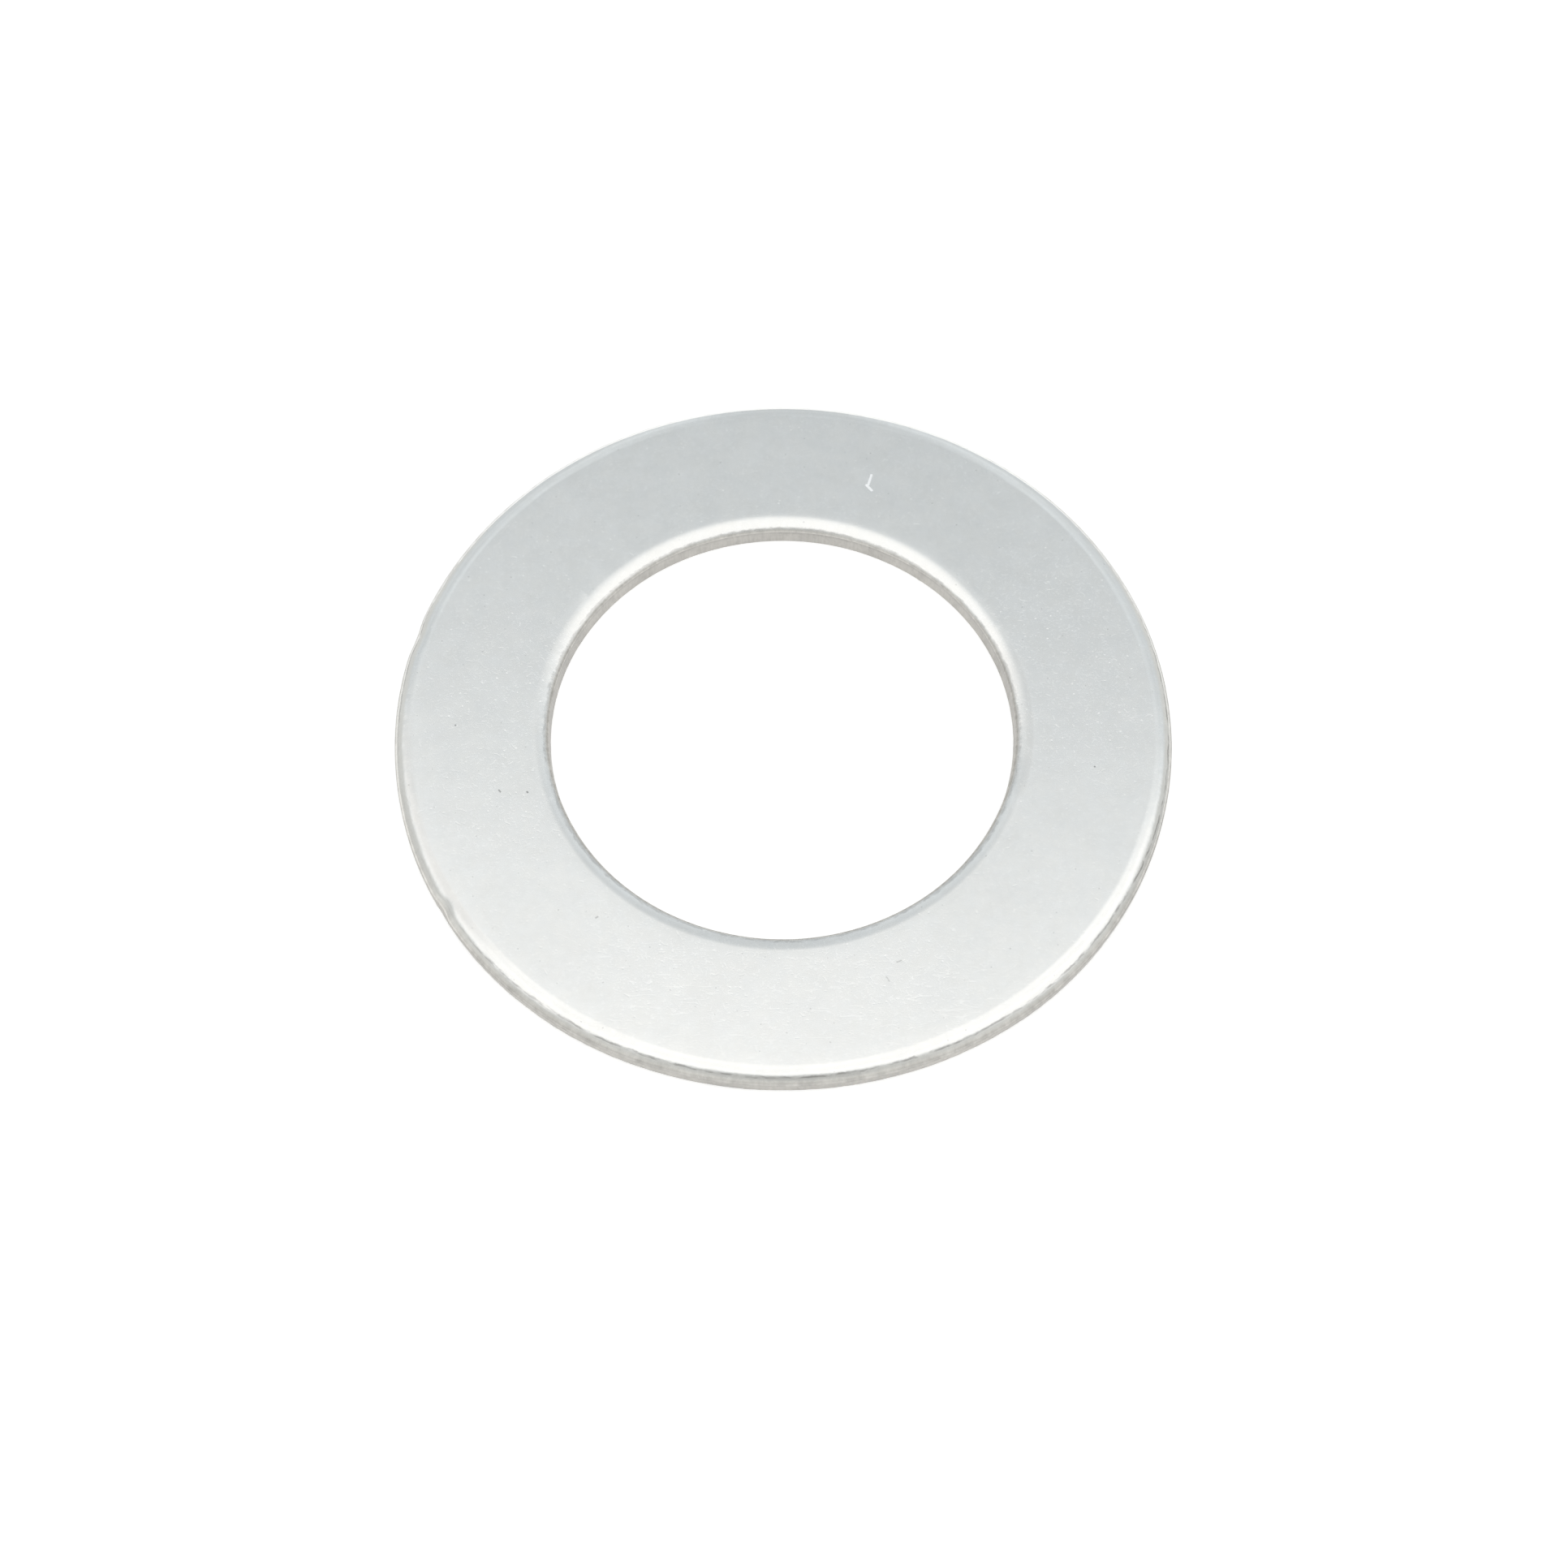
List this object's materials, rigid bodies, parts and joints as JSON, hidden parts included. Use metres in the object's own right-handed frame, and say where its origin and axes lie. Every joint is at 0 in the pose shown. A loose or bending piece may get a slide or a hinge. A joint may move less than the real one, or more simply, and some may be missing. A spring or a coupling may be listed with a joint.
{
  "type": "shim ring",
  "caption": "Thin flat steel ring with a wide bore and softly rolled edges, slipped over a shaft or into a housing to take up end play.",
  "frame": {"origin": "centre of the bore on the bottom face", "axes": "+Z along the bore axis, out of the top face, whose two edges are rolled over; the ring is round, so X and Y are only a choice"},
  "size_m": [0.015, 0.015, 0.0004],
  "materials": {
    "bright_steel": "bright cold-rolled strip, tumbled to a soft satin"
  },
  "bodies": {
    "root": {"shim_ring": "bright_steel"}
  },
  "joints": []
}
